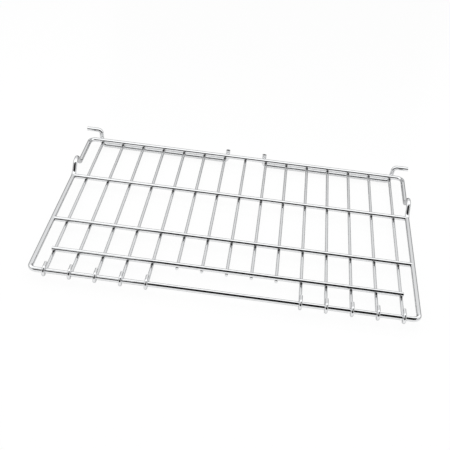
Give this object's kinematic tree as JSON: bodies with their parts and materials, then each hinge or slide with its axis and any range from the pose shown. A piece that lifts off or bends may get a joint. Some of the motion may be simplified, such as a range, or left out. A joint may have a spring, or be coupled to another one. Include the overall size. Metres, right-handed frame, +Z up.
{
  "type": "oven shelf rack",
  "caption": "Flat rectangular oven rack of welded chrome wire, with a hand gap behind the front rail, a hump in each side rail and outward hooks behind the back rail.",
  "frame": {"origin": "on the plane the rack lies on, under the middle of its overall box", "axes": "+X across the rack to its right, +Y from the front rail to the back rail, +Z up"},
  "size_m": [0.62, 0.4728, 0.0423],
  "materials": {
    "frame_chrome": "bright chrome-plated drawn steel rod",
    "bar_chrome": "bright chrome-plated drawn steel rod",
    "wire_chrome": "bright chrome-plated drawn steel wire",
    "hook_chrome": "bright chrome-plated bent steel wire"
  },
  "bodies": {
    "root": {"frame_wire": "frame_chrome", "crossbar_rear": "bar_chrome", "crossbar_middle": "bar_chrome", "crossbar_front": "bar_chrome", "rear_hook_left": "hook_chrome", "rear_hook_right": "hook_chrome", "long_wire_01": "wire_chrome", "long_wire_02": "wire_chrome", "long_wire_03": "wire_chrome", "long_wire_04": "wire_chrome", "long_wire_05": "wire_chrome", "long_wire_06": "wire_chrome", "long_wire_07": "wire_chrome", "long_wire_08": "wire_chrome", "long_wire_09": "wire_chrome", "long_wire_10": "wire_chrome", "long_wire_11": "wire_chrome", "long_wire_12": "wire_chrome", "long_wire_13": "wire_chrome", "long_wire_14": "wire_chrome", "long_wire_15": "wire_chrome"}
  },
  "joints": []
}
